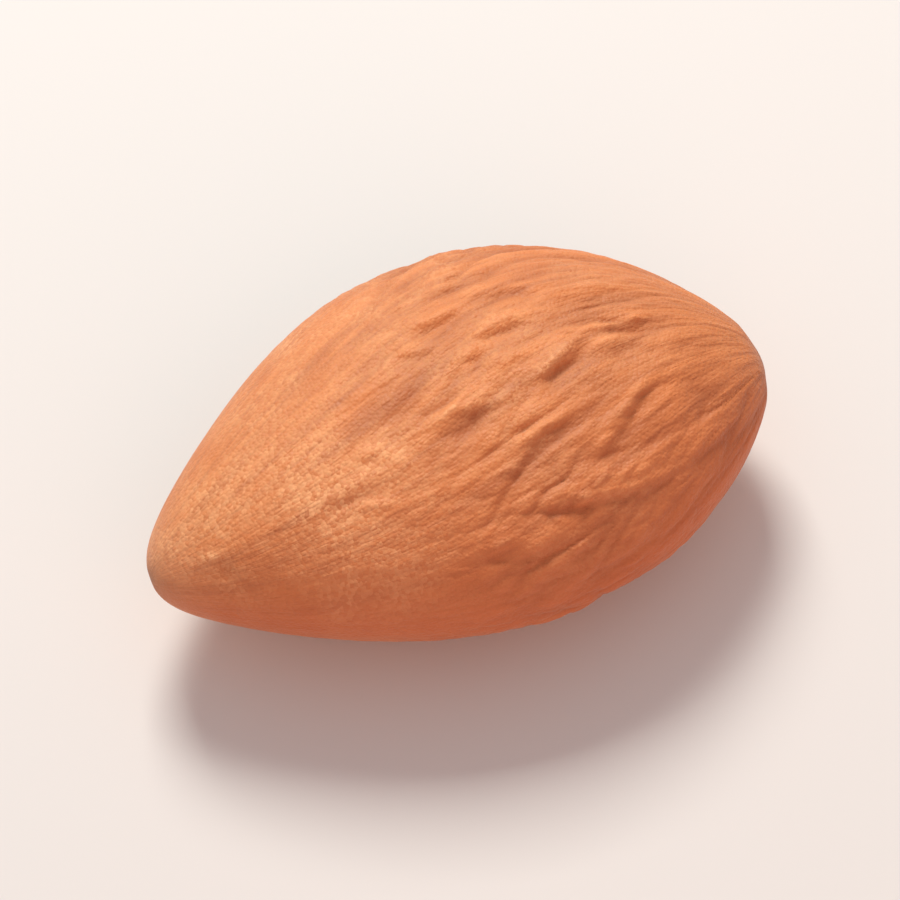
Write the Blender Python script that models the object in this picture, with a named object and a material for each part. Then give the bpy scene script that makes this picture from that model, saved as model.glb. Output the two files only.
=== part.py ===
"""One shelled almond with its brown skin on, lying on its broad face.

Metres, +Z up. X runs along the kernel from the pointed tip, at -X, to the broad end, at +X.
The origin is under the middle of the kernel's box, on the plane of the flat spot that it rests on.

The form is a teardrop: each section across the length is an oval whose thickest point lies on a crest
line that runs from the tip to the scar at the broad end. The skin's relief is then raised from that
form by a formula, along the surface normal: long furrows all round, deeper folds on the upper face,
the vein along the fuller edge, the scar and the pore.
"""

import math

import bmesh
import bpy
from mathutils import Vector, noise

MM = 0.001

# Driving dimensions of the smooth form
LENGTH = 24.15 * MM
WIDTH = 15.2 * MM
THICKNESS = 8.8 * MM
BOW = 0.78 * MM  # how far the outline's middle bows towards the fuller edge, +Y
CREST_SHIFT = 0.65 * MM  # how far the crest line leans to +Y beside the outline's middle
TIP_DROP = 0.35 * MM  # how far the tip leans to -Y
TIP_DROP_POWER = 4  # how fast that lean dies away behind the tip
TIP_ROUNDING = 0.42  # 0.5 closes the tip like a ball, and less makes its end squarer
NOSE = 0.30  # bluntness of the tip, as a share of the length
HEEL = 0.10  # bluntness of the broad end, the same way
PLAN_POWERS = (1.48, 0.96)  # how sharply the outline closes at the tip and at the broad end
SIDE_POWERS = (0.76, 0.52)  # the same, seen from the side
FOOT_CUT = 0.14 * MM  # depth of the flat spot under the kernel
FOOT_ALONG = 0.58  # where along the kernel the flat spot lies

# Driving dimensions of the skin's relief
FURROW_PITCH = 1.7 * MM
FURROW_DEPTH = 0.28 * MM
FURROW_STRETCH = 3.6  # how many times longer than wide a furrow is
FURROW_WIDTH = 0.30  # how much of the ground the furrows take, between 0 and 1
WRINKLE_PITCH = 1.05 * MM
WRINKLE_DEPTH = 0.15 * MM
WRINKLE_STRETCH = 2.3
WRINKLE_WIDTH = 0.40
CROWN_SHARE = 0.35  # height of a crown between two furrows, as a share of their depth
CREASED_FROM = (0.26, 0.56)  # along the kernel, where the first creases start and where all are there
WORN_PITCH = 4.5 * MM  # size of the patches where the creases are fainter
WORN_LEAST = 0.35  # share of their depth that is left in the faintest patch
TWIST = 1.0  # how far the creases turn about the kernel along its length, in radians
SWELL_PITCH = 5.5 * MM
SWELL_HEIGHT = 0.14 * MM
RAPHE_HEIGHT = 0.14 * MM  # the vein along the fuller edge, from the tip to the scar
RAPHE_WIDTH = 1.2 * MM
SCAR_RADIUS = 1.5 * MM  # the scar at the broad end, where the skin's veins start
SCAR_DEPTH = 0.10 * MM
PORE_RADIUS = 0.45 * MM  # the pore at the tip
PORE_DEPTH = 0.05 * MM
FOOT_CALM = 3.2 * MM  # the relief dies away within this distance of the flat spot's middle

# The folds laid by hand on the upper face: where each starts and ends, as millimetres from the tip and
# millimetres from the crest towards +Y, then its depth or height and its half width in millimetres
CREST_FURROWS = (
    ((11.2, -1.9), (13.5, -1.4), 0.22, 0.29),
    ((15.5, -1.3), (17.4, -0.2), 0.26, 0.28),
    ((13.8, 1.2), (15.7, 1.6), 0.18, 0.25),
    ((13.0, 0.3), (13.9, 0.7), 0.13, 0.24),
    ((10.9, 1.9), (12.0, 1.7), 0.10, 0.24),
    ((11.6, 2.5), (13.5, 2.5), 0.12, 0.25),
    ((13.6, -3.5), (16.0, -2.7), 0.15, 0.25),
    ((16.7, -4.2), (19.4, -2.5), 0.19, 0.30),
    ((14.7, 3.3), (16.7, 2.8), 0.10, 0.30),
    ((17.2, 2.3), (19.9, 3.1), 0.13, 0.30),
    ((18.7, 0.2), (20.4, 0.9), 0.15, 0.28),
    ((18.1, -0.8), (19.4, -0.5), 0.12, 0.26),
    ((13.2, -5.3), (18.5, -6.3), 0.11, 0.26),
    ((12.7, -3.9), (13.5, -3.8), 0.10, 0.24),
    ((6.3, -3.3), (8.4, -2.8), 0.11, 0.30),
    ((11.0, -6.3), (12.4, -6.5), 0.09, 0.28),
    ((20.2, -4.4), (21.9, -1.2), 0.10, 0.90),
    ((2.1, -4.7), (2.8, -4.5), 0.18, 0.80),
)
CREST_RIDGES = (
    ((16.0, -5.0), (18.7, -5.1), 0.15, 0.32),
    ((13.6, 0.2), (15.5, 0.2), 0.12, 0.30),
    ((8.1, -1.2), (9.4, -1.7), 0.08, 0.24),
    ((7.7, -3.5), (8.7, -3.6), 0.08, 0.26),
    ((13.7, -6.8), (15.3, -6.5), 0.12, 0.40),
)
HALF_WIDTH_LEAST = 0.36  # in millimetres: the mesh's cells are too wide to carry a narrower fold
STRAY = 0.30 * MM  # how far a fold strays from its straight run
STRAY_PITCH = 1.3 * MM
BANK_SHARE = 0.9  # height of the heap beside a furrow, as a share of the furrow's depth
BANK_PLACE = 1.7  # how far the heap lies from the middle of the bed, in half widths
NEAR_SLOPE = 1.7  # how many times wider the near side of the bed is than its far side
END_FADE = 0.6  # how much fainter a fold is at its ends than in its middle

# Where in the noise each pattern is read from
FURROW_SEED = 1.7
WRINKLE_SEED = 23.1
WORN_SEED = Vector((11.0, 3.0, 5.0))
SWELL_SEED = Vector((2.0, 9.0, 4.0))
DRIFT_SEED = 3  # for noise_vector, which starts from the clock when no seed is set

# Cells along X, Y and Z of the box whose corners are drawn out to the kernel
GRID = (26, 40, 26)

SKIN_COLOUR = (0.72, 0.30, 0.125, 1.0)
SKIN_ROUGHNESS = 0.62


def smooth_step(low, high, value):
    """0 below low, 1 above high, and a smooth ramp between them."""
    share = min(1.0, max(0.0, (value - low) / (high - low)))
    return share * share * (3 - 2 * share)


def taper(along, powers):
    """Closes at both ends of the kernel, and rounds both off. along runs from 0 at the tip to 1."""
    tip_power, end_power = powers
    back = 1 - along
    nose = along**TIP_ROUNDING * (along + NOSE) ** (tip_power - TIP_ROUNDING)
    return nose * math.sqrt(back) * (back + HEEL) ** (end_power - 0.5)


def widest(powers):
    """The taper's largest value, which half the width or thickness is divided by."""
    samples = 500
    return max(taper(i / samples, powers) for i in range(samples + 1))


PLAN_WIDEST = widest(PLAN_POWERS)
SIDE_WIDEST = widest(SIDE_POWERS)


def form_point(along, around):
    """A point on the smooth form. around is 0 at the fuller edge, +Y, and a quarter turn on top."""
    half_width = WIDTH / 2 * taper(along, PLAN_POWERS) / PLAN_WIDEST
    half_thickness = THICKNESS / 2 * taper(along, SIDE_POWERS) / SIDE_WIDEST
    bend = math.sin(math.pi * along)
    lean = CREST_SHIFT * along * bend
    reach = half_width - lean if math.cos(around) > 0 else half_width + lean
    crest = BOW * bend + lean - TIP_DROP * (1 - along) ** TIP_DROP_POWER
    return Vector(
        (
            LENGTH * (along - 0.5),
            crest + reach * math.cos(around),
            half_thickness * math.sin(around),
        )
    )


def straight_place(along, around):
    """The same place on a straight bar of the kernel's widest section, measured from the tip.

    The relief is drawn on this bar, so that the furrows draw together towards both of the ends.
    """
    return Vector(
        (
            LENGTH * along,
            WIDTH / 2 * math.cos(around),
            THICKNESS / 2 * math.sin(around),
        )
    )


def corrugation(place, pitch, stretch, width, seed):
    """-1 in the bed of a furrow, 0 beside it and CROWN_SHARE on the crown between two.

    The beds wander, fork and join along the kernel.
    """
    stretched = Vector((place.x / (pitch * stretch), place.y / pitch, place.z / pitch))
    wander = noise.noise_vector(stretched * 0.8 + Vector((seed, 0, 7.3)))
    level = noise.noise(stretched + 0.4 * wander + Vector((0, seed, 0)))
    reach = abs(level) / width
    return CROWN_SHARE * smooth_step(0.7, 1.9, reach) - max(0.0, 1 - reach) ** 1.5


def fold_place(place, start, end, half_width):
    """How strong a fold is at a place, 0 to 1, and how many half widths aside of its run that is."""
    run = (Vector(end) - Vector(start)) * MM
    offset = place.to_2d() - Vector(start) * MM
    half_width = max(half_width, HALF_WIDTH_LEAST) * MM
    share = offset.dot(run) / run.length_squared
    within = min(1.0, max(0.0, share))
    past = abs(share - within) * run.length / half_width
    strength = math.exp(-(past**2)) * (1 - END_FADE * (2 * within - 1) ** 2)
    return strength, run.cross(offset) / run.length / half_width


def crest_folds(place):
    """The height that the folds laid by hand on the upper face give, in metres."""
    if place.z < 0:
        return 0.0
    strayed = place + STRAY * noise.noise_vector(place / STRAY_PITCH)
    height = 0.0
    for start, end, depth, half_width in CREST_FURROWS:
        strength, aside = fold_place(strayed, start, end, half_width)
        bed = math.exp(-((aside if aside > 0 else aside / NEAR_SLOPE) ** 2))
        bank = BANK_SHARE * math.exp(-((aside - BANK_PLACE) ** 2))
        height += depth * MM * strength * (bank - bed)
    for start, end, rise, half_width in CREST_RIDGES:
        strength, aside = fold_place(strayed, start, end, half_width)
        height += rise * MM * strength * math.exp(-(aside**2))
    return height


def relief(along, around):
    """How far the skin stands out from the smooth form, in metres."""
    place = straight_place(along, around)
    twisted = straight_place(along, around + TWIST * (along - 0.5))
    girth = taper(along, PLAN_POWERS) / PLAN_WIDEST
    worn = 0.55 + 0.9 * noise.noise(place / WORN_PITCH + WORN_SEED)
    creased = smooth_step(*CREASED_FROM, along) * min(1.0, max(WORN_LEAST, worn))
    furrow = corrugation(twisted, FURROW_PITCH, FURROW_STRETCH, FURROW_WIDTH, FURROW_SEED)
    wrinkle = corrugation(twisted, WRINKLE_PITCH, WRINKLE_STRETCH, WRINKLE_WIDTH, WRINKLE_SEED)
    height = SWELL_HEIGHT * noise.noise(place / SWELL_PITCH + SWELL_SEED)
    height += creased * min(FURROW_DEPTH * furrow, WRINKLE_DEPTH * wrinkle)
    height += crest_folds(place)
    from_edge = place.z if math.cos(around) > 0 else THICKNESS
    raphe = math.exp(-((from_edge / (RAPHE_WIDTH / 2)) ** 2))
    height += RAPHE_HEIGHT * raphe * smooth_step(0.04, 0.2, along)
    return height * girth


def grid_ball(counts):
    """A unit ball, from a box whose faces are divided into counts cells along X, Y and Z."""
    bm = bmesh.new()
    corners = {}

    def corner(cell):
        """The ball's vertex for one corner of the box's cells, made the first time it is asked for."""
        if cell not in corners:
            shares = (2 * n / count - 1 for n, count in zip(cell, counts))
            out = Vector([math.tan(math.pi / 4 * share) for share in shares])
            corners[cell] = bm.verts.new(out.normalized())
        return corners[cell]

    for axis in range(3):
        second = (axis + 1) % 3
        third = (axis + 2) % 3
        for side in (0, counts[axis]):
            for i in range(counts[second]):
                for j in range(counts[third]):
                    loop = []
                    for step_i, step_j in ((0, 0), (1, 0), (1, 1), (0, 1)):
                        cell = [side, side, side]
                        cell[second] = i + step_i
                        cell[third] = j + step_j
                        loop.append(corner(tuple(cell)))
                    bm.faces.new(loop if side else loop[::-1])
    return bm


def kernel_mesh():
    """The kernel as a closed bmesh, before it is cut flat underneath."""
    bm = grid_ball(GRID)
    places = []
    for vertex in bm.verts:
        along = min(1.0, max(0.0, (1 + vertex.co.x) / 2))
        around = math.atan2(vertex.co.z, vertex.co.y)
        places.append((along, around))
        vertex.co = form_point(along, around)
    bm.normal_update()
    foot = form_point(FOOT_ALONG, -math.pi / 2)
    tip = form_point(0, 0)
    end = form_point(1, 0)
    shifts = []
    for vertex, (along, around) in zip(bm.verts, places):
        from_foot = (vertex.co - foot).length
        calm = smooth_step(0.55 * FOOT_CALM, 1.4 * FOOT_CALM, from_foot)
        from_end = (vertex.co - end).length
        scarred = 1 - smooth_step(0.5 * SCAR_RADIUS, 1.2 * SCAR_RADIUS, from_end)
        from_tip = (vertex.co - tip).length
        pored = 1 - smooth_step(0.3 * PORE_RADIUS, PORE_RADIUS, from_tip)
        height = relief(along, around) * calm * (1 - scarred)
        shifts.append(vertex.normal * (height - SCAR_DEPTH * scarred - PORE_DEPTH * pored))
    for vertex, shift in zip(bm.verts, shifts):
        vertex.co += shift
    return bm


def cut_foot(bm):
    """Cuts the flat spot that the kernel rests on, and fills it with one face."""
    lowest = min(vertex.co.z for vertex in bm.verts)
    bmesh.ops.bisect_plane(
        bm,
        geom=bm.verts[:] + bm.edges[:] + bm.faces[:],
        plane_co=(0, 0, lowest + FOOT_CUT),
        plane_no=(0, 0, -1),
        clear_outer=True,
    )
    bmesh.ops.holes_fill(bm, edges=[e for e in bm.edges if e.is_boundary])


def stand_on_origin(bm):
    """Moves the kernel so that the origin lies under the middle of its box."""
    xs, ys, zs = zip(*(vertex.co for vertex in bm.verts))
    middle = Vector(((min(xs) + max(xs)) / 2, (min(ys) + max(ys)) / 2, min(zs)))
    bmesh.ops.translate(bm, verts=bm.verts[:], vec=-middle)


def skin_material():
    """The brown skin: matte and dry."""
    material = bpy.data.materials.new("almond_skin")
    material.use_nodes = True
    shader = material.node_tree.nodes["Principled BSDF"]
    shader.inputs["Base Color"].default_value = SKIN_COLOUR
    shader.inputs["Roughness"].default_value = SKIN_ROUGHNESS
    shader.inputs["Metallic"].default_value = 0.0
    return material


def main():
    for obj in list(bpy.data.objects):
        bpy.data.objects.remove(obj)
    noise.seed_set(DRIFT_SEED)
    bm = kernel_mesh()
    cut_foot(bm)
    stand_on_origin(bm)
    mesh = bpy.data.meshes.new("almond_kernel")
    bm.to_mesh(mesh)
    bm.free()
    mesh.materials.append(skin_material())
    mesh.shade_smooth()
    mesh.set_sharp_from_angle(angle=math.radians(70))
    kernel = bpy.data.objects.new("almond_kernel", mesh)
    bpy.context.scene.collection.objects.link(kernel)


main()
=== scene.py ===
# %% [markdown]
# # A shelled almond in its brown skin
#
# An almond kernel is a seed. It has a pointed tip, where it would sprout, a broad end, where it was
# fed, and a thin brown skin that dried onto it in furrows. This lesson dresses one kernel, 24 mm long,
# that lies on its broad face. The solid kernel is loaded first: it gives the size and the place. The
# finer kernel that is built here then stands for it in the picture.

# %% Load the solid kernel
import math

import bmesh
import bpy
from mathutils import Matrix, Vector, noise


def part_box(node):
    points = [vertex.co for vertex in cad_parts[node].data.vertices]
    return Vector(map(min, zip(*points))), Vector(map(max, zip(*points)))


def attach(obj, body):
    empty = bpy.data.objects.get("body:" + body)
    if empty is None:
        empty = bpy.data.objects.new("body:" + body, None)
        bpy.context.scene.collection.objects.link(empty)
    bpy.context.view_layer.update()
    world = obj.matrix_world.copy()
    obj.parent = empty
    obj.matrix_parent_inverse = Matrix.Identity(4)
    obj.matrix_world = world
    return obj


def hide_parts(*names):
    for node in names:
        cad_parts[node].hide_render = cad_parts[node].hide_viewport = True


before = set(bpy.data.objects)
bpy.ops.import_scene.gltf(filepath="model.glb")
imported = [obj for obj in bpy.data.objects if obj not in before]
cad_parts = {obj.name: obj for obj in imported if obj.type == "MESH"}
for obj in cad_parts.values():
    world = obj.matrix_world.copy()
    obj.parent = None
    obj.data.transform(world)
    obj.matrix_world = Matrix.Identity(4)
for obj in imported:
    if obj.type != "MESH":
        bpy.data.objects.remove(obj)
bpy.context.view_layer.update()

MM = 0.001

solid_low, solid_high = (Vector(corner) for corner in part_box("almond_kernel"))
solid_middle = (solid_low + solid_high) / 2
print("solid kernel, mm:", [round(side / MM, 2) for side in solid_high - solid_low])

# %% [markdown]
# ## The teardrop
#
# Each section across an almond is an oval. The ovals grow fast from the blunt, slightly squared tip,
# are widest a little past the middle and close in a round broad end. One edge is fuller than the
# other, so the outline bows to that side. It could be sculpted, or squeezed out of a ball with a
# lattice. A formula is used here, because the same few measures then shape the solid and this finer
# skin, and they stay one form.
#
# A place on the skin is given by two numbers: how far along the kernel it is, from 0 at the tip to 1
# at the broad end, and how far around, from 0 at the fuller edge to a quarter turn on top.

# %% The teardrop's measures
LENGTH = 24.15 * MM
WIDTH = 15.2 * MM
THICKNESS = 8.8 * MM
BOW = 0.78 * MM  # how far the outline's middle bows towards the fuller edge
CREST_SHIFT = 0.65 * MM  # how far the crest leans the same way, beside the outline's middle
TIP_DROP = 0.35 * MM  # how far the tip leans the other way
TIP_DROP_POWER = 4  # how fast that lean dies away behind the tip
TIP_ROUNDING = 0.42  # 0.5 closes the tip like a ball, and less makes its end squarer
NOSE = 0.30  # bluntness of the tip, as a share of the length
HEEL = 0.10  # bluntness of the broad end, the same way
PLAN_POWERS = (1.48, 0.96)  # how sharply the outline closes at the tip and at the broad end
SIDE_POWERS = (0.76, 0.52)  # the same, seen from the side


def smooth_step(low, high, value):
    """0 below low, 1 above high, and a smooth ramp between them."""
    share = min(1.0, max(0.0, (value - low) / (high - low)))
    return share * share * (3 - 2 * share)


def taper(along, powers):
    """Closes at both ends of the kernel: a pointed teardrop with both its ends rounded off."""
    tip_power, end_power = powers
    back = 1 - along
    nose = along**TIP_ROUNDING * (along + NOSE) ** (tip_power - TIP_ROUNDING)
    return nose * math.sqrt(back) * (back + HEEL) ** (end_power - 0.5)


def widest(powers):
    """The taper's largest value, found by walking along the kernel."""
    samples = 500
    return max(taper(i / samples, powers) for i in range(samples + 1))


PLAN_WIDEST = widest(PLAN_POWERS)
SIDE_WIDEST = widest(SIDE_POWERS)


def form_point(along, around):
    """A point on the smooth teardrop, before any furrow."""
    half_width = WIDTH / 2 * taper(along, PLAN_POWERS) / PLAN_WIDEST
    half_thickness = THICKNESS / 2 * taper(along, SIDE_POWERS) / SIDE_WIDEST
    bend = math.sin(math.pi * along)
    lean = CREST_SHIFT * along * bend
    reach = half_width - lean if math.cos(around) > 0 else half_width + lean
    crest = BOW * bend + lean - TIP_DROP * (1 - along) ** TIP_DROP_POWER
    return Vector(
        (
            LENGTH * (along - 0.5),
            crest + reach * math.cos(around),
            half_thickness * math.sin(around),
        )
    )


print("crest halfway along, mm:", [round(v / MM, 2) for v in form_point(0.5, math.pi / 2)])

# %% [markdown]
# ## The furrows
#
# The skin is fed by veins that start at a scar on the broad end and run towards the tip. As the seed
# dries, the skin shrinks over them and creases lengthwise: furrows 1 to 2 mm apart, short wrinkles
# between them, and a tip that stays smooth. Displacing a mesh with a texture would do for the small
# ones, but furrows have to draw together at both ends of the kernel. So they are drawn on a straight
# bar, as wide as the kernel's widest section, and each place on the skin looks up its place there.
#
# A furrow is where a noise that is stretched along the bar passes through zero. Zero lines of a noise
# wander, fork and join, as the real creases do. Between two of them the skin rises to a rounded crown.
#
# One trap: Blender's noise_vector starts from the clock, so it would wander differently on every run.
# Setting a seed first makes the kernel come out the same each time, and the same as the solid.

# %% Furrows and wrinkles
FURROW_PITCH = 1.7 * MM
FURROW_DEPTH = 0.28 * MM
FURROW_STRETCH = 3.6  # how many times longer than wide a furrow is
FURROW_WIDTH = 0.30  # how much of the ground the furrows take, between 0 and 1
WRINKLE_PITCH = 1.05 * MM
WRINKLE_DEPTH = 0.15 * MM
WRINKLE_STRETCH = 2.3
WRINKLE_WIDTH = 0.40
DRIFT = 0.4  # how far a furrow drifts off its course, as a share of the pitch
DRIFT_DETAIL = 0.8  # how many drifts there are to a pitch
DRIFT_PLACE = 7.3  # where in the noise the drift is read
RAGGED = 0.22  # how much a furrow's course is broken up by smaller turns
RAGGED_DETAIL = 2.7  # how many times smaller those turns are
BRINK_POWER = 1.5  # above 1, so that a bed meets the even skin without a sharp brink
CROWN_FROM = (0.7, 1.9)  # where a crown starts and where it is full, in half widths of the bed
CROWN_SHARE = 0.35  # height of a crown between two furrows, as a share of their depth
CREASED_FROM = (0.26, 0.56)  # along the kernel, where the first creases start and where all are there
WORN_PITCH = 4.5 * MM  # size of the patches where the creases are fainter
WORN_MIDDLE = 0.55  # share of their depth that is left on the whole
WORN_SWING = 0.9  # how much that goes up and down from patch to patch
WORN_LEAST = 0.35  # share of their depth that is left in the faintest patch
TWIST = 1.0  # how far the creases turn about the kernel along its length, in radians

FURROW_SEED = 1.7
WRINKLE_SEED = 23.1
WORN_SEED = Vector((11.0, 3.0, 5.0))
DRIFT_SEED = 3

noise.seed_set(DRIFT_SEED)


def straight_place(along, around):
    """The same place on a straight bar of the kernel's widest section, measured from the tip."""
    return Vector(
        (
            LENGTH * along,
            WIDTH / 2 * math.cos(around),
            THICKNESS / 2 * math.sin(around),
        )
    )


def corrugation(place, pitch, stretch, width, seed):
    """-1 in the bed of a furrow, 0 beside it and CROWN_SHARE on the crown between two."""
    stretched = Vector((place.x / (pitch * stretch), place.y / pitch, place.z / pitch))
    drift = noise.noise_vector(stretched * DRIFT_DETAIL + Vector((seed, 0, DRIFT_PLACE)))
    drifted = stretched + DRIFT * drift + Vector((0, seed, 0))
    level = noise.noise(drifted) + RAGGED * noise.noise(RAGGED_DETAIL * drifted)
    reach = abs(level) / width
    return CROWN_SHARE * smooth_step(*CROWN_FROM, reach) - max(0.0, 1 - reach) ** BRINK_POWER


def creased_share(place, along):
    """How much of the creases' depth there is: none at the tip, and less in worn patches."""
    worn = WORN_MIDDLE + WORN_SWING * noise.noise(place / WORN_PITCH + WORN_SEED)
    return smooth_step(*CREASED_FROM, along) * min(1.0, max(WORN_LEAST, worn))


sampled = [creased_share(straight_place(n / 10, math.pi / 2), n / 10) for n in (1, 4, 7)]
print("share of the creases at 0.1, 0.4 and 0.7 along:", [round(share, 2) for share in sampled])

# %% [markdown]
# ## The deep folds of the upper face
#
# On the face that shows, some twenty folds are deeper than the rest, and they are what the eye finds
# first: short, slanting from the tip's side of the near edge towards the far one. Where the skin folds,
# it heaps up on the far side of a furrow and slopes gently into it on the near side. Noise can't be
# told where to put them, so each is listed as a straight run from one point to another, and a
# small stray then takes the ruler out of it.

# %% Folds listed one by one
# Where each starts and ends, as millimetres from the tip and millimetres from the crest towards the
# fuller edge, then its depth or height and its half width in millimetres
CREST_FURROWS = (
    ((11.2, -1.9), (13.5, -1.4), 0.22, 0.29),
    ((15.5, -1.3), (17.4, -0.2), 0.26, 0.28),
    ((13.8, 1.2), (15.7, 1.6), 0.18, 0.25),
    ((13.0, 0.3), (13.9, 0.7), 0.13, 0.24),
    ((10.9, 1.9), (12.0, 1.7), 0.10, 0.24),
    ((11.6, 2.5), (13.5, 2.5), 0.12, 0.25),
    ((13.6, -3.5), (16.0, -2.7), 0.15, 0.25),
    ((16.7, -4.2), (19.4, -2.5), 0.19, 0.30),
    ((14.7, 3.3), (16.7, 2.8), 0.10, 0.30),
    ((17.2, 2.3), (19.9, 3.1), 0.13, 0.30),
    ((18.7, 0.2), (20.4, 0.9), 0.15, 0.28),
    ((18.1, -0.8), (19.4, -0.5), 0.12, 0.26),
    ((13.2, -5.3), (18.5, -6.3), 0.11, 0.26),
    ((12.7, -3.9), (13.5, -3.8), 0.10, 0.24),
    ((6.3, -3.3), (8.4, -2.8), 0.11, 0.30),
    ((11.0, -6.3), (12.4, -6.5), 0.09, 0.28),
    ((20.2, -4.4), (21.9, -1.2), 0.10, 0.90),
    ((2.1, -4.7), (2.8, -4.5), 0.18, 0.80),
)
CREST_RIDGES = (
    ((16.0, -5.0), (18.7, -5.1), 0.15, 0.32),
    ((13.6, 0.2), (15.5, 0.2), 0.12, 0.30),
    ((8.1, -1.2), (9.4, -1.7), 0.08, 0.24),
    ((7.7, -3.5), (8.7, -3.6), 0.08, 0.26),
    ((13.7, -6.8), (15.3, -6.5), 0.12, 0.40),
)
STRAY = 0.30 * MM  # how far a fold strays from its straight run
STRAY_PITCH = 1.3 * MM
FRAY = 0.09 * MM  # how ragged its edges are
FRAY_PITCH = 0.45 * MM
BANK_SHARE = 0.9  # height of the heap beside a furrow, as a share of the furrow's depth
BANK_PLACE = 1.7  # how far the heap lies from the middle of the bed, in half widths
NEAR_SLOPE = 1.7  # how many times wider the near side of the bed is than its far side
BED_POWER = 1.5  # 1 for a bed like a knife cut and 2 for a round one
END_FADE = 0.6  # how much fainter a fold is at its ends than in its middle


def fold_place(place, start, end, half_width):
    """How strong a fold is at a place, 0 to 1, and how many half widths aside of its run that is."""
    run = (Vector(end) - Vector(start)) * MM
    offset = place.to_2d() - Vector(start) * MM
    share = offset.dot(run) / run.length_squared
    within = min(1.0, max(0.0, share))
    past = abs(share - within) * run.length / (half_width * MM)
    strength = math.exp(-(past**2)) * (1 - END_FADE * (2 * within - 1) ** 2)
    return strength, run.cross(offset) / run.length / (half_width * MM)


def crest_folds(place):
    """The height that the listed folds on the upper face give."""
    if place.z < 0:
        return 0.0
    strayed = place + STRAY * noise.noise_vector(place / STRAY_PITCH)
    strayed += FRAY * noise.noise_vector(place / FRAY_PITCH)
    height = 0.0
    for start, end, depth, half_width in CREST_FURROWS:
        strength, aside = fold_place(strayed, start, end, half_width)
        bed = math.exp(-(abs(aside if aside > 0 else aside / NEAR_SLOPE) ** BED_POWER))
        bank = BANK_SHARE * math.exp(-((aside - BANK_PLACE) ** 2))
        height += depth * MM * strength * (bank - bed)
    for start, end, rise, half_width in CREST_RIDGES:
        strength, aside = fold_place(strayed, start, end, half_width)
        height += rise * MM * strength * math.exp(-(aside**2))
    return height


print("folds laid by hand:", len(CREST_FURROWS) + len(CREST_RIDGES))

# %% [markdown]
# ## The skin's smaller marks
#
# Between the furrows the dried skin is crinkled, like paper that was wet once. These creases are only
# half a millimetre apart, too fine for the solid, but the light picks them out, so they are real
# shape here and not a trick of the shader. The vein that fed the seed shows as a low ridge along the
# fuller edge. The broad end has the scar where the veins start, and the tip has its pore.

# %% Swell, crinkle, vein, scar and pore
SWELL_PITCH = 5.5 * MM
SWELL_HEIGHT = 0.14 * MM
CRINKLE_PITCH = 0.55 * MM
CRINKLE_DEPTH = 0.09 * MM
CRINKLE_STRETCH = 2.2
CRINKLE_WIDTH = 0.5
CRINKLE_LEAST = 0.3  # share of the crinkle that there is on the smooth tip
RAPHE_HEIGHT = 0.14 * MM  # the raphe is the vein along the fuller edge
RAPHE_WIDTH = 1.2 * MM
RAPHE_FROM = (0.04, 0.2)  # along the kernel, where the vein starts and where it is full
SCAR_RADIUS = 1.5 * MM
SCAR_DEPTH = 0.10 * MM
PORE_RADIUS = 0.45 * MM
PORE_DEPTH = 0.05 * MM

SWELL_SEED = Vector((2.0, 9.0, 4.0))
CRINKLE_SEED = 41.9


def relief(along, around):
    """How far the skin stands out from the teardrop, and how far down a crease it is.

    The second value is 1 in a deep furrow, 0 on even skin and -1 on top of a high fold.
    """
    place = straight_place(along, around)
    twisted = straight_place(along, around + TWIST * (along - 0.5))
    girth = taper(along, PLAN_POWERS) / PLAN_WIDEST
    creased = creased_share(place, along)
    furrow = corrugation(twisted, FURROW_PITCH, FURROW_STRETCH, FURROW_WIDTH, FURROW_SEED)
    wrinkle = corrugation(twisted, WRINKLE_PITCH, WRINKLE_STRETCH, WRINKLE_WIDTH, WRINKLE_SEED)
    crinkle = corrugation(twisted, CRINKLE_PITCH, CRINKLE_STRETCH, CRINKLE_WIDTH, CRINKLE_SEED)
    crinkled = CRINKLE_DEPTH * (CRINKLE_LEAST + (1 - CRINKLE_LEAST) * creased)
    creases = crest_folds(place) + creased * min(FURROW_DEPTH * furrow, WRINKLE_DEPTH * wrinkle)
    creases += crinkled * crinkle
    height = creases + SWELL_HEIGHT * noise.noise(place / SWELL_PITCH + SWELL_SEED)
    from_edge = place.z if math.cos(around) > 0 else THICKNESS
    raphe = math.exp(-((from_edge / (RAPHE_WIDTH / 2)) ** 2))
    height += RAPHE_HEIGHT * raphe * smooth_step(*RAPHE_FROM, along)
    return height * girth, min(1.0, max(-1.0, -creases / FURROW_DEPTH))


crest_heights = [relief(n / 100, math.pi / 2)[0] / MM for n in range(101)]
print("relief along the crest, mm:", round(min(crest_heights), 2), "to", round(max(crest_heights), 2))

# %% [markdown]
# ## The mesh
#
# A ball made of rings pinches at its two poles, and the skin would show the pinch at the tip. A box
# whose faces are divided into cells, drawn out to a ball, has no poles and its cells stay nearly
# square. Each of its corners is then moved to the teardrop and on to the height of the relief.
#
# Four values are kept with each corner, for the skin's material to read: how far down a crease or up
# a fold it is, how far along the kernel, how near the edge, and its place on the straight bar, so that
# streaks of colour can run as the furrows do.

# %% A ball without poles
FINE_CELLS = (104, 160, 104)  # along X, Y and Z: a cell is about 0.15 mm wide


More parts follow.
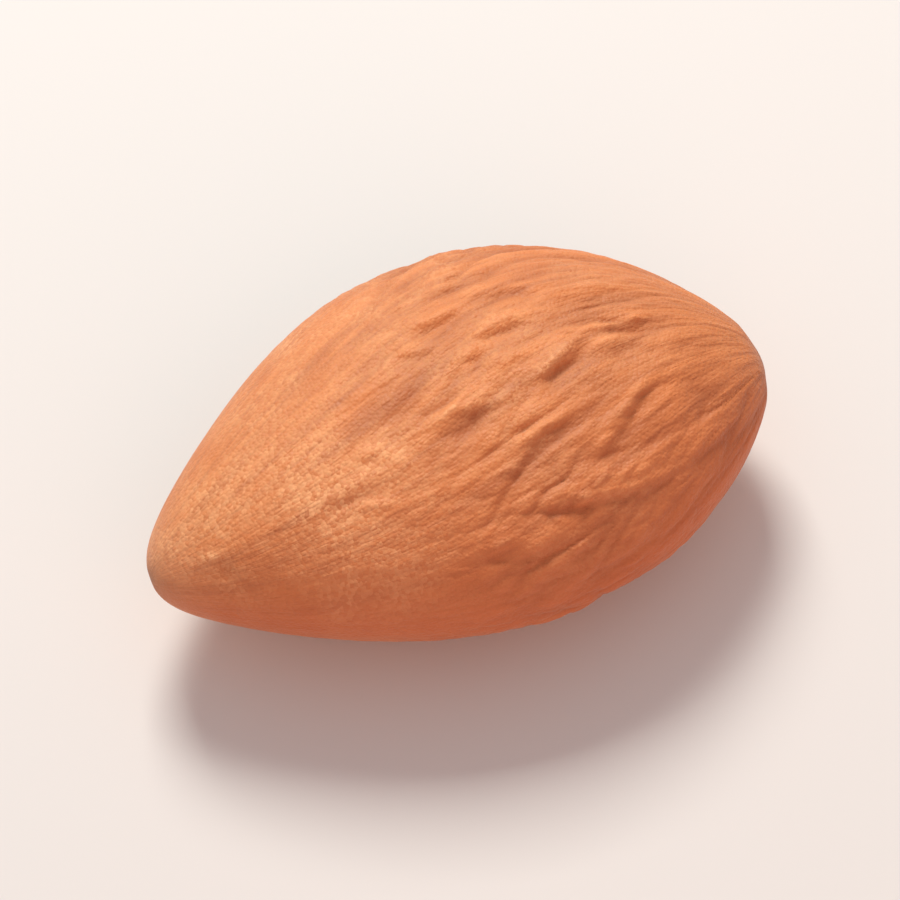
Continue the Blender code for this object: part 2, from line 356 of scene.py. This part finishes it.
def grid_ball(counts):
    """A unit ball, from a box whose faces are divided into counts cells along X, Y and Z."""
    bm = bmesh.new()
    corners = {}

    def corner(cell):
        """The ball's vertex for one corner of the box's cells, made the first time it is asked for."""
        if cell not in corners:
            shares = (2 * n / count - 1 for n, count in zip(cell, counts))
            out = Vector([math.tan(math.pi / 4 * share) for share in shares])
            corners[cell] = bm.verts.new(out.normalized())
        return corners[cell]

    for axis in range(3):
        second = (axis + 1) % 3
        third = (axis + 2) % 3
        for side in (0, counts[axis]):
            for i in range(counts[second]):
                for j in range(counts[third]):
                    loop = []
                    for step_i, step_j in ((0, 0), (1, 0), (1, 1), (0, 1)):
                        cell = [side, side, side]
                        cell[second] = i + step_i
                        cell[third] = j + step_j
                        loop.append(corner(tuple(cell)))
                    bm.faces.new(loop if side else loop[::-1])
    return bm


x_cells, y_cells, z_cells = FINE_CELLS
print("cells:", 2 * (x_cells * y_cells + y_cells * z_cells + z_cells * x_cells))

# %% From the ball to the kernel
FOOT_ALONG = 0.58  # where along the kernel the flat spot that it rests on lies
FOOT_CALM = 3.2 * MM  # the relief dies away within this distance of the flat spot's middle
CALM_BAND = (0.55, 1.4)  # from where to where it does so, in shares of that distance
SCAR_BAND = (0.5, 1.2)  # from where to where the scar fades, in shares of its radius
PORE_BAND = (0.3, 1.0)  # the same for the pore
FULLER_EDGE_SHADE = 0.4  # how much of the painted edge shade the fuller side gets: it is the far edge, which the lamp lights


def nearness(vertex, place, radius, band):
    """1 at a place on the skin and 0 far from it. The band is in shares of the radius."""
    return 1 - smooth_step(band[0] * radius, band[1] * radius, (vertex.co - place).length)


def draw_out(bm):
    """Moves the ball's corners to the skin, and keeps what the material reads with each of them."""
    depth_layer = bm.verts.layers.float.new("crease_depth")
    along_layer = bm.verts.layers.float.new("along")
    edge_shade_layer = bm.verts.layers.float.new("edge")
    bar_layer = bm.verts.layers.float_vector.new("bar_place")
    places = []
    for vertex in bm.verts:
        along = min(1.0, max(0.0, (1 + vertex.co.x) / 2))
        around = math.atan2(vertex.co.z, vertex.co.y)
        places.append((along, around))
        vertex.co = form_point(along, around)
    bm.normal_update()
    foot = form_point(FOOT_ALONG, -math.pi / 2)
    tip = form_point(0, 0)
    end = form_point(1, 0)
    shifts = []
    for vertex, (along, around) in zip(bm.verts, places):
        scarred = nearness(vertex, end, SCAR_RADIUS, SCAR_BAND)
        pored = nearness(vertex, tip, PORE_RADIUS, PORE_BAND)
        kept = (1 - nearness(vertex, foot, FOOT_CALM, CALM_BAND)) * (1 - scarred)
        height, depth = relief(along, around)
        drop = SCAR_DEPTH * scarred + PORE_DEPTH * pored
        shifts.append(vertex.normal * (height * kept - drop))
        vertex[depth_layer] = depth * kept
        vertex[along_layer] = along
        # painted shade of the edges: full on the near edge, less on the fuller far edge that the lamp
        # lights
        edge_shade_strength = FULLER_EDGE_SHADE if math.cos(around) > 0 else 1
        vertex[edge_shade_layer] = edge_shade_strength * (1 - abs(math.sin(around)))
        vertex[bar_layer] = straight_place(along, around + TWIST * (along - 0.5)) / MM
    for vertex, shift in zip(bm.verts, shifts):
        vertex.co += shift


bm = grid_ball(FINE_CELLS)
draw_out(bm)
print("drawn out, corners:", len(bm.verts))

# %% Set down on its flat spot
FOOT_CUT = 0.14 * MM  # depth of the flat spot


def stand(bm):
    """Cuts the flat spot and moves the kernel to where the solid one lies."""
    lowest = min(vertex.co.z for vertex in bm.verts)
    bmesh.ops.bisect_plane(
        bm,
        geom=bm.verts[:] + bm.edges[:] + bm.faces[:],
        plane_co=(0, 0, lowest + FOOT_CUT),
        plane_no=(0, 0, -1),
        clear_outer=True,
    )
    bmesh.ops.holes_fill(bm, edges=[e for e in bm.edges if e.is_boundary])
    xs, ys, zs = zip(*(vertex.co for vertex in bm.verts))
    foot_middle = Vector(((min(xs) + max(xs)) / 2, (min(ys) + max(ys)) / 2, min(zs)))
    place = Vector((solid_middle.x, solid_middle.y, solid_low.z))
    bmesh.ops.translate(bm, verts=bm.verts[:], vec=place - foot_middle)


stand(bm)
kernel_mesh = bpy.data.meshes.new("almond_skin")
bm.to_mesh(kernel_mesh)
bm.free()
kernel_mesh.shade_smooth()
kernel = bpy.data.objects.new("almond", kernel_mesh)
bpy.context.scene.collection.objects.link(kernel)
triangles = sum(len(face.vertices) - 2 for face in kernel_mesh.polygons)
print("skin:", len(kernel_mesh.vertices), "corners,", triangles, "triangles")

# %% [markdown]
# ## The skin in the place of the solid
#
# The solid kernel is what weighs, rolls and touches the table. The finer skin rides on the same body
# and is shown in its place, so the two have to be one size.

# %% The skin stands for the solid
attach(kernel, "root")
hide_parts("almond_kernel")
print(kernel.name, "is shown in the place of almond_kernel")

# %% [markdown]
# ## The skin's colour and finish
#
# The skin is dry seed coat, the pellicle: a few layers of brown, tannin-filled cells, with a bloom of
# loose scaly cells on top. Nothing made it smooth, so it is matte, and it has no coat and no metal.
# The brown isn't even. It is paler where the bloom lies thick, which is on the ridges and in patches
# over the tip's half, and the ridges' pale is also a painted highlight. Round the edge it is painted
# redder and darker, as shade warmed by light thrown back from brown. It is darker down in the creases,
# partly its own deeper brown and partly painted shade, and streaked lengthwise by the veins below. The
# scar at the broad end is the darkest place, and the tip the palest, partly from a painted highlight.
#
# One shader holds it: a rough base, a little sheen for the bloom, which lifts the edges, and a little
# light let in under the surface, because skin this thin isn't opaque. Colours are written as the hex
# values of a paint chart, and one function turns them to the linear values that Blender wants.

# %% Two helpers for the material
MIX_A, MIX_B, MIX_RESULT = 6, 7, 2  # the Mix node's colour sockets, which share their names with others


def colour(chart_hex):
    """A paint-chart colour such as #C8804F, as linear red, green, blue and alpha."""
    parts = [int(chart_hex[i : i + 2], 16) / 255 for i in (1, 3, 5)]
    linear = [p / 12.92 if p <= 0.04045 else ((p + 0.055) / 1.055) ** 2.4 for p in parts]
    return (*linear, 1.0)


def add_node(tree, kind, settings=None, inputs=None, links=None):
    """Adds a node to a material, with its settings, its input values and what is linked into it."""
    node = tree.nodes.new(kind)
    for name, value in (settings or {}).items():
        setattr(node, name, value)
    for socket, value in (inputs or {}).items():
        node.inputs[socket].default_value = value
    for socket, source in (links or {}).items():
        tree.links.new(source, node.inputs[socket])
    return node


print("middle grey #808080 is, in linear light:", round(colour("#808080")[0], 3))

# %% Skin colours
SKIN_BROWN = colour("#D07D48")  # the skin between creases
SKIN_STREAK = colour("#AD6239")  # over a vein
SKIN_BLOOM_AND_HIGHLIGHT = colour("#F2B482")  # where the loose cells lie thick, and a painted highlight on the fold ridges
SKIN_CREASE_SHADE = colour("#8E4A2B")  # down in a crease: the skin's deeper brown with painted shade
SKIN_EDGE_SHADE = colour("#C3683D")  # painted shade round the edge, warm as light thrown back from something brown
SKIN_TIP_AND_HIGHLIGHT = colour("#E29B72")  # at the tip: pale skin with a painted highlight on its rim
SKIN_SCAR = colour("#8A4A2C")  # round the scar, where the veins start

skin = bpy.data.materials.new("almond skin, dried seed coat")
skin.use_nodes = True
tree = skin.node_tree
shader = tree.nodes["Principled BSDF"]
print("material:", skin.name)

# %% Where the patterns are read
bar = add_node(tree, "ShaderNodeAttribute", {"attribute_name": "bar_place"})
along = add_node(tree, "ShaderNodeAttribute", {"attribute_name": "along"})
depth = add_node(tree, "ShaderNodeAttribute", {"attribute_name": "crease_depth"})
body = add_node(tree, "ShaderNodeTexCoord")
millimetres = add_node(
    tree,
    "ShaderNodeVectorMath",
    {"operation": "SCALE"},
    {"Scale": 1 / MM},
    {"Vector": body.outputs["Object"]},
)
print("read from the mesh:", [node.attribute_name for node in (bar, along, depth)])

# %% [markdown]
# ### Colours laid one over the other
#
# Each Mix node lays one more colour over those before it, by a share between 0 and 1: the streaks of
# the veins, the bloom with a painted highlight on the ridges, the painted shade round the edge, the
# creases' deeper brown and painted shade, and last the tip with its painted highlight and the scar. A
# picture wrapped round the kernel could hold all of this, but it would stretch at both ends. So noise
# gives what has no fixed place, and the values kept with the mesh give what has one.

# %% Streaks along the veins
STREAKS_PER_MM = (0.16, 1.6, 1.6)  # along the kernel and across it: the veins lie about 0.6 mm apart

lengthwise = add_node(
    tree,
    "ShaderNodeMapping",
    inputs={"Scale": STREAKS_PER_MM},
    links={"Vector": bar.outputs["Vector"]},
)
streaks = add_node(
    tree,
    "ShaderNodeTexNoise",
    inputs={"Scale": 1.0, "Detail": 4.0, "Roughness": 0.6, "Distortion": 0.3},
    links={"Vector": lengthwise.outputs["Vector"]},
)
streak_share = add_node(
    tree,
    "ShaderNodeMapRange",
    inputs={"From Min": 0.42, "From Max": 0.70, "To Min": 0.0, "To Max": 0.85},
    links={"Value": streaks.outputs["Fac"]},
)
streaked = add_node(
    tree,
    "ShaderNodeMix",
    {"data_type": "RGBA"},
    {MIX_A: SKIN_BROWN, MIX_B: SKIN_STREAK},
    {"Factor": streak_share.outputs["Result"]},
)
print("a streak, mm:", [round(1 / count, 2) for count in STREAKS_PER_MM[:2]])

# %% The bloom's patches and grain
PATCH_SIZE = 3.0  # mm across a patch where the bloom is thick
GRAIN_SIZE = 0.14  # mm across a loose cell, drawn at the coarse end of real ones so that it shows

patches = add_node(
    tree,
    "ShaderNodeTexNoise",
    inputs={"Scale": 1 / PATCH_SIZE, "Detail": 3.0, "Roughness": 0.55},
    links={"Vector": millimetres.outputs["Vector"]},
)
grain = add_node(
    tree,
    "ShaderNodeTexVoronoi",
    {"feature": "F1"},
    {"Scale": 1 / GRAIN_SIZE, "Randomness": 1.0},
    {"Vector": millimetres.outputs["Vector"]},
)
print("loose cells to a patch of bloom:", round((PATCH_SIZE / GRAIN_SIZE) ** 2))

# %% Where the bloom lies thick: in patches and on the ridges, where it is also a painted highlight, and less towards the broad end
patch_share = add_node(
    tree,
    "ShaderNodeMapRange",
    inputs={"From Min": 0.35, "From Max": 0.68, "To Min": 0.05, "To Max": 0.75},
    links={"Value": patches.outputs["Fac"]},
)
# Painted highlight: the tops of the folds are laid paler, as if lit, besides the bloom that lies on
# them
ridge_bloom_and_highlight = add_node(
    tree,
    "ShaderNodeMapRange",
    inputs={"From Min": -0.05, "From Max": -0.45, "To Min": 0.0, "To Max": 1.0},
    links={"Value": depth.outputs["Fac"]},
)
bloom_and_highlight = add_node(
    tree,
    "ShaderNodeMath",
    {"operation": "MAXIMUM"},
    links={0: patch_share.outputs["Result"], 1: ridge_bloom_and_highlight.outputs["Result"]},
)
thinning = add_node(
    tree,
    "ShaderNodeMapRange",
    inputs={"From Min": 0.3, "From Max": 0.85, "To Min": 1.0, "To Max": 0.2},
    links={"Value": along.outputs["Fac"]},
)
grain_share = add_node(
    tree,
    "ShaderNodeMapRange",
    inputs={"From Min": 0.25, "From Max": 0.75, "To Min": 0.2, "To Max": 1.0},
    links={"Value": grain.outputs["Color"]},
)
grained = add_node(
    tree,
    "ShaderNodeMath",
    {"operation": "MULTIPLY"},
    links={0: bloom_and_highlight.outputs["Value"], 1: grain_share.outputs["Result"]},
)

# %% The bloom and the ridges' painted highlight over the brown
bloom_and_highlight_share = add_node(
    tree,
    "ShaderNodeMath",
    {"operation": "MULTIPLY"},
    links={0: grained.outputs["Value"], 1: thinning.outputs["Result"]},
)
bloomed_and_highlit = add_node(
    tree,
    "ShaderNodeMix",
    {"data_type": "RGBA"},
    {MIX_B: SKIN_BLOOM_AND_HIGHLIGHT},
    {"Factor": bloom_and_highlight_share.outputs["Value"], MIX_A: streaked.outputs[MIX_RESULT]},
)
print("nodes so far:", len(tree.nodes))

# %% Painted shade: redder and darker round the edge
# Painted shade: the edges are laid redder and darker, as shade warmed by light thrown back from brown
edge = add_node(tree, "ShaderNodeAttribute", {"attribute_name": "edge"})
edge_shade_share = add_node(
    tree,
    "ShaderNodeMapRange",
    inputs={"From Min": 0.02, "From Max": 0.9, "To Min": 0.0, "To Max": 0.85},
    links={"Value": edge.outputs["Fac"]},
)
edge_shaded = add_node(
    tree,
    "ShaderNodeMix",
    {"data_type": "RGBA"},
    {MIX_B: SKIN_EDGE_SHADE},
    {"Factor": edge_shade_share.outputs["Result"], MIX_A: bloomed_and_highlit.outputs[MIX_RESULT]},
)

# %% Darker down in the creases: deeper brown with painted shade
# Partly painted shade: the creases are laid darker, as the shade in them, besides the skin's deeper
# brown
crease_shade_share = add_node(
    tree,
    "ShaderNodeMapRange",
    inputs={"From Min": 0.05, "From Max": 0.8, "To Min": 0.0, "To Max": 0.38},
    links={"Value": depth.outputs["Fac"]},
)
crease_shaded_skin = add_node(
    tree,
    "ShaderNodeMix",
    {"data_type": "RGBA"},
    {MIX_B: SKIN_CREASE_SHADE},
    {"Factor": crease_shade_share.outputs["Result"], MIX_A: edge_shaded.outputs[MIX_RESULT]},
)

# %% The pale tip with a painted highlight, and the dark scar
# Partly painted highlight: the tip is laid paler, as the light caught on its rim
tip_and_highlight_share = add_node(
    tree,
    "ShaderNodeMapRange",
    inputs={"From Min": 0.0, "From Max": 0.09, "To Min": 0.4, "To Max": 0.0},
    links={"Value": along.outputs["Fac"]},
)
tipped_and_highlit = add_node(
    tree,
    "ShaderNodeMix",
    {"data_type": "RGBA"},
    {MIX_B: SKIN_TIP_AND_HIGHLIGHT},
    {"Factor": tip_and_highlight_share.outputs["Result"], MIX_A: crease_shaded_skin.outputs[MIX_RESULT]},
)
scar_share = add_node(
    tree,
    "ShaderNodeMapRange",
    inputs={"From Min": 0.97, "From Max": 1.0, "To Min": 0.0, "To Max": 0.6},
    links={"Value": along.outputs["Fac"]},
)
scarred_skin = add_node(
    tree,
    "ShaderNodeMix",
    {"data_type": "RGBA"},
    {MIX_B: SKIN_SCAR},
    {"Factor": scar_share.outputs["Result"], MIX_A: tipped_and_highlit.outputs[MIX_RESULT]},
)
tree.links.new(scarred_skin.outputs[MIX_RESULT], shader.inputs["Base Color"])
print("colours laid over the brown:", sum(node.type == "MIX" for node in tree.nodes))

# %% [markdown]
# ## The skin's touch
#
# Two bumps finish it: fibres that run with the veins, and the grain of the loose cells. They are far
# too small to be cut into a mesh, and they don't show in the outline. A bump's height is in metres, so
# each is given a real one: three or four hundredths of a millimetre, on skin a quarter of a
# millimetre thick, looks dry and fine, while ten times that would look like bark.

# %% Fibres and grain
FIBRES_PER_MM = (0.7, 6.0, 6.0)  # along the kernel and across it: a fibre is about 0.17 mm wide
FIBRE_HEIGHT = 0.04 * MM
GRAIN_HEIGHT = 0.028 * MM

fibre_place = add_node(
    tree,
    "ShaderNodeMapping",
    inputs={"Scale": FIBRES_PER_MM},
    links={"Vector": bar.outputs["Vector"]},
)
fibres = add_node(
    tree,
    "ShaderNodeTexNoise",
    inputs={"Scale": 1.0, "Detail": 3.0, "Roughness": 0.6, "Distortion": 0.4},
    links={"Vector": fibre_place.outputs["Vector"]},
)
fibre_bump = add_node(
    tree,
    "ShaderNodeBump",
    inputs={"Strength": 1.0, "Distance": FIBRE_HEIGHT},
    links={"Height": fibres.outputs["Fac"]},
)
grain_bump = add_node(
    tree,
    "ShaderNodeBump",
    {"invert": True},
    {"Strength": 1.0, "Distance": GRAIN_HEIGHT},
    {"Height": grain.outputs["Distance"], "Normal": fibre_bump.outputs["Normal"]},
)
tree.links.new(grain_bump.outputs["Normal"], shader.inputs["Normal"])
print("a fibre, mm:", [round(1 / count, 2) for count in FIBRES_PER_MM[:2]])

# %% Roughness, sheen and the light let in
roughness = add_node(
    tree,
    "ShaderNodeMapRange",
    inputs={"From Min": 0.0, "From Max": 1.0, "To Min": 0.52, "To Max": 0.72},
    links={"Value": grain.outputs["Color"]},
)
tree.links.new(roughness.outputs["Result"], shader.inputs["Roughness"])

SHADER_VALUES = {
    "Metallic": 0.0,
    "IOR": 1.45,  # dry plant tissue
    "Sheen Weight": 0.25,  # loose cells catch light that comes in flat
    "Sheen Roughness": 0.45,
    "Sheen Tint": colour("#EFC9BC"),
    "Subsurface Weight": 0.06,
    "Subsurface Radius": (1.0, 0.45, 0.2),  # red light goes furthest in
    "Subsurface Scale": 0.3 * MM,
}
for name, value in SHADER_VALUES.items():
    shader.inputs[name].default_value = value
kernel_mesh.materials.append(skin)
print("skin material:", len(tree.nodes), "nodes")

# %% [markdown]
# ## Floor, light and camera
#
# The floor is a plain pale sheet. One soft lamp stands behind the kernel, high up and a little to the
# right, so it rakes over the folds: their far banks are bright and the near lower side falls into
# shade. A warm fill from the front reddens that shade, as light thrown back from something brown
# would, and a pale sky keeps it open. Lamps this near a thing this small need less than a watt.
#
# The camera looks down on the broad face, from the tip's side of the near edge. It stands far off with
# a long lens, as one would for a portrait: close up, a short lens would swell whatever is nearest.

# %% The floor
FLOOR_SIZE = 3.0  # metres: far wider than any view of the kernel

floor_mesh = bpy.data.meshes.new("floor")
half = FLOOR_SIZE / 2
floor_corners = [(-half, -half, 0), (half, -half, 0), (half, half, 0), (-half, half, 0)]
floor_mesh.from_pydata(floor_corners, [], [(0, 1, 2, 3)])
floor = bpy.data.objects.new("floor", floor_mesh)
bpy.context.scene.collection.objects.link(floor)
paper = bpy.data.materials.new("uncoated paper, pressed flat")
paper.use_nodes = True
paper_shader = paper.node_tree.nodes["Principled BSDF"]
paper_shader.inputs["Base Color"].default_value = colour("#DAD9DC")
paper_shader.inputs["Roughness"].default_value = 0.9  # no coating, so it has no gloss
floor_mesh.materials.append(paper)
print("floor, m:", FLOOR_SIZE)

# %% The lamps and the sky
AIM = Vector((0, 0, 4 * MM))


def soft_lamp(name, place, size, watts, chart_hex):
    """A square lamp that looks at the kernel."""
    light = bpy.data.lights.new(name, "AREA")
    light.size = size
    light.energy = watts
    light.color = colour(chart_hex)[:3]
    lamp = bpy.data.objects.new(name, light)
    lamp.location = place
    lamp.rotation_euler = (AIM - Vector(place)).to_track_quat("-Z", "Y").to_euler()
    bpy.context.scene.collection.objects.link(lamp)


soft_lamp("key", place=(0.03, 0.20, 0.21), size=0.10, watts=0.88, chart_hex="#FFFDF0")
soft_lamp("fill", place=(0.02, -0.22, 0.14), size=0.25, watts=0.23, chart_hex="#FFA070")

sky = bpy.data.worlds.new("pale sky")
bpy.context.scene.world = sky
sky.use_nodes = True
background = sky.node_tree.nodes["Background"]
background.inputs["Color"].default_value = colour("#F6F4F2")
background.inputs["Strength"].default_value = 0.50
bpy.context.scene.view_settings.view_transform = "Standard"
print("lamps:", [lamp.name for lamp in bpy.data.lights])

# %% The camera
CAMERA_AZIMUTH = math.radians(-21)  # from straight in front of the near edge, towards the tip
CAMERA_ELEVATION = math.radians(62)  # above the floor
LENS = 200  # mm: long and far off, so that the kernel is drawn nearly without perspective
SENSOR = 36  # mm
FRAME_WIDTH = 33 * MM  # what the picture is wide at the kernel

camera = bpy.data.cameras.new("camera")
camera.lens = LENS
camera.sensor_width = SENSOR
camera.clip_start = 0.005
distance = FRAME_WIDTH * LENS / SENSOR
towards = Vector(
    (
        math.sin(CAMERA_AZIMUTH) * math.cos(CAMERA_ELEVATION),
        -math.cos(CAMERA_AZIMUTH) * math.cos(CAMERA_ELEVATION),
        math.sin(CAMERA_ELEVATION),
    )
)
eye = bpy.data.objects.new("camera", camera)
eye.location = AIM + towards * distance
eye.rotation_euler = (-towards).to_track_quat("-Z", "Y").to_euler()
bpy.context.scene.collection.objects.link(eye)
bpy.context.scene.camera = eye
print("camera at, mm:", [round(v / MM) for v in eye.location])
